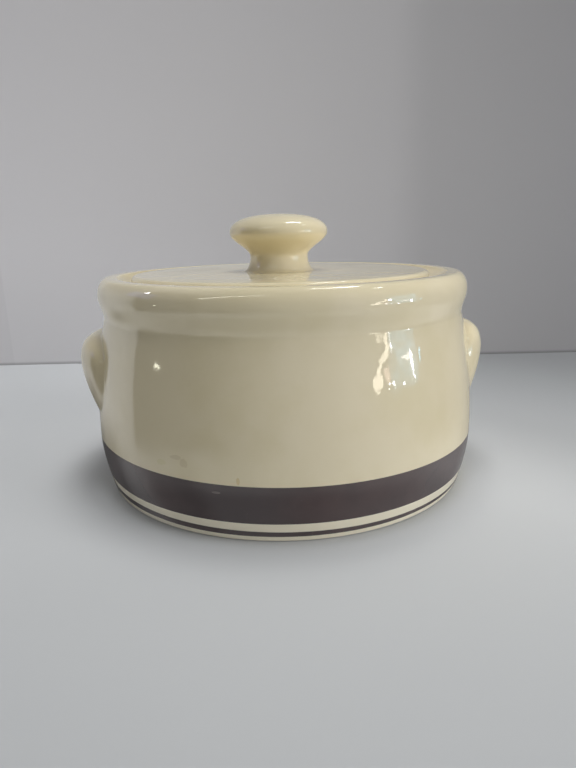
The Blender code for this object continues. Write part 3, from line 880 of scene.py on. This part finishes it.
def make_room():
    """What the glaze mirrors of the room, by direction, and a plain pale backdrop for the eye."""
    world = bpy.data.worlds.new("room")
    bpy.context.scene.world = world
    world.use_nodes = True
    tree = world.node_tree
    direction = add_node(tree, "ShaderNodeTexCoord").outputs["Generated"]
    side, ahead, lift = add_node(tree, "ShaderNodeSeparateXYZ", {0: direction}).outputs
    turn = sums(tree, "ARCTAN2", side, sums(tree, "MULTIPLY", ahead, -1.0))
    share = sums(tree, "MULTIPLY_ADD", turn, 1 / math.tau, 0.5)
    table, eye, high = (room_ramp(tree, share, stops) for stops in (TABLE_STOPS, EYE_STOPS, HIGH_STOPS))
    shade = grey(tree, ranged(tree, lift, *UNDER_LIFTS, 1.0, UNDER_DISH))
    seen = mixed(tree, ranged(tree, lift, *EYE_LIFTS), mixed(tree, 1.0, table, shade, "MULTIPLY"), eye)
    seen = mixed(tree, ranged(tree, lift, *HIGH_LIFTS), seen, high)
    seen = mixed(tree, ranged(tree, lift, *CEILING_LIFTS), seen, CEILING)
    path = add_node(tree, "ShaderNodeLightPath").outputs
    room = tree.nodes["Background"]
    tree.links.new(seen, room.inputs["Color"])
    fill = add_node(tree, "ShaderNodeBackground", {"Color": (1.0, 1.0, 1.0, 1.0), "Strength": ROOM_FILL})
    plain = add_node(tree, "ShaderNodeBackground", {"Color": BACKDROP})
    lit = add_node(
        tree, "ShaderNodeMixShader", {0: path["Is Glossy Ray"], 1: fill.outputs[0], 2: room.outputs[0]})
    either = add_node(
        tree, "ShaderNodeMixShader", {0: path["Is Camera Ray"], 1: lit.outputs[0], 2: plain.outputs[0]})
    tree.links.new(either.outputs[0], tree.nodes["World Output"].inputs["Surface"])


def mirror_card(name, azimuth, elevation, width, height, glow, roll=0.0):
    """A glowing card that only the glaze sees. Glow is a colour or a function of its place."""
    work = bmesh.new()
    bmesh.ops.create_grid(work, x_segments=1, y_segments=1, size=0.5)
    bmesh.ops.scale(work, verts=work.verts, vec=(width, height, 1.0))
    card = bpy.data.meshes.new(name)
    work.to_mesh(card)
    work.free()
    material = bpy.data.materials.new(name)
    material.use_nodes = True
    tree = material.node_tree
    light = add_node(tree, "ShaderNodeEmission", {"Color": (1.0, 1.0, 1.0, 1.0), "Strength": 1.0})
    if callable(glow):
        place = add_node(tree, "ShaderNodeTexCoord").outputs["Object"]
        tree.links.new(glow(tree, place), light.inputs["Color"])
    else:
        light.inputs["Color"].default_value = (*glow, 1.0)
    clear = add_node(tree, "ShaderNodeBsdfTransparent")
    both = add_node(tree, "ShaderNodeAddShader", {0: light.outputs[0], 1: clear.outputs[0]})
    tree.links.new(both.outputs[0], tree.nodes["Material Output"].inputs["Surface"])
    card.materials.append(material)
    shown = bpy.data.objects.new(name, card)
    face_dish(shown, azimuth, elevation, CARD_DISTANCE, roll)
    shown.visible_camera = shown.visible_diffuse = shown.visible_shadow = False
    bpy.context.scene.collection.objects.link(shown)


def window_glow(tree, place):
    """A window as the glaze shows it: a pale blue pane with torn bright patches on it."""
    side, up, _ = add_node(tree, "ShaderNodeSeparateXYZ", {0: place}).outputs
    across = sums(tree, "MULTIPLY", ranged(tree, side, *PANE_LEFT), ranged(tree, side, *PANE_RIGHT))
    upright = sums(tree, "MULTIPLY", ranged(tree, up, *PANE_BOTTOM), ranged(tree, up, *PANE_TOP))
    patchy = ranged(tree, noise(tree, place, PANE_GRAIN, 2.0), 0.38, 0.62, *PANE_GLOW)
    pane = sums(tree, "MULTIPLY", sums(tree, "MULTIPLY", across, upright), patchy)
    shown = mixed(tree, pane, (0.0, 0.0, 0.0, 1.0), (*WINDOW_PANE, 1.0))
    shown.node.clamp_factor = False
    for side_at, up_at, half_width, half_height, bright, colour in WINDOW_MARKS:
        mask = small_mark(tree, place, (side_at, up_at, 0.0), (half_width, half_height, 1.0), WINDOW_GRAIN)
        shown = mixed(tree, mask, shown, (*(bright * part for part in colour), 1.0))
    return shown


def make_lights():
    """Soft panels that shape the dish, and the room and lamps that its glaze mirrors."""
    make_room()
    for name, azimuth, elevation, distance, size, power in PANELS:
        soft_light(name, azimuth, elevation, distance, size, power)
    mirror_card("window", *WINDOW_PLACE, *WINDOW_SIZE, window_glow)
    for name, azimuth, elevation, width, height, roll, colour in LAMPS:
        mirror_card(name, azimuth, elevation, width, height, colour, roll)


def make_camera():
    """The viewer's eye, low and close in front, tipped down and turned as in the photograph."""
    camera = bpy.data.cameras.new("viewer")
    camera.lens = LENS
    camera.clip_start = CLIP_START
    viewer = bpy.data.objects.new("viewer", camera)
    bpy.context.scene.collection.objects.link(viewer)
    bpy.context.scene.camera = viewer
    side, pitch, roll = math.radians(EYE_SIDE), math.radians(EYE_PITCH), math.radians(EYE_ROLL)
    heading = side + math.radians(EYE_PAN)
    level = Vector((math.sin(heading), math.cos(heading), 0.0))
    forward = level * math.cos(pitch) - Vector((0.0, 0.0, math.sin(pitch)))
    right = Vector((math.cos(heading), -math.sin(heading), 0.0))
    down = forward.cross(right)
    tipped_right = right * math.cos(roll) + down * math.sin(roll)
    tipped_up = right * math.sin(roll) - down * math.cos(roll)
    pose = Matrix((tipped_right, tipped_up, -forward)).transposed().to_4x4()
    pose.translation = (-EYE_DISTANCE * math.sin(side), -EYE_DISTANCE * math.cos(side), EYE_HEIGHT)
    viewer.matrix_world = pose


def dress_dish():
    """Make every visible piece of the dish."""
    glaze = fired_glaze_group()
    small_mark_group()
    crock_cream = cream_material("crock_cream_glaze", glaze, CROCK_CLAY_RISE, CREAM_MARKS)
    # The left ear takes a darker copy of the cream glaze as painted shade.
    left_ear_shaded_cream = cream_material(
        "left_ear_shaded_cream_glaze", glaze, CROCK_CLAY_RISE, thin=LEFT_EAR_SHADED_THIN, full=LEFT_EAR_SHADED_FULL)
    lid_cream = cream_material("lid_cream_glaze", glaze, LID_LOW.z + LID_CLAY_RISE)
    brown = brown_material(glaze)
    make_crock(crock_cream)
    make_band("wide_band_glaze", WIDE_LOW.z, WIDE_HIGH.z, WIDE_BAND_STEPS, WIDE_TILT, brown, "wide_band")
    make_band(
        "narrow_band_glaze", NARROW_LOW.z, NARROW_HIGH.z, NARROW_BAND_STEPS, NARROW_TILT, brown,
        "narrow_band")
    make_ear("right_ear", 0.0, RIGHT_EAR_MIDDLE, crock_cream, "right_handle")
    make_ear("left_ear", math.pi, LEFT_EAR_MIDDLE, left_ear_shaded_cream, "left_handle")
    make_lid(lid_cream)
    make_knob(lid_cream)


bpy.context.scene.view_settings.view_transform = "Standard"
dress_dish()
make_table()
make_wall()
make_lights()
make_camera()
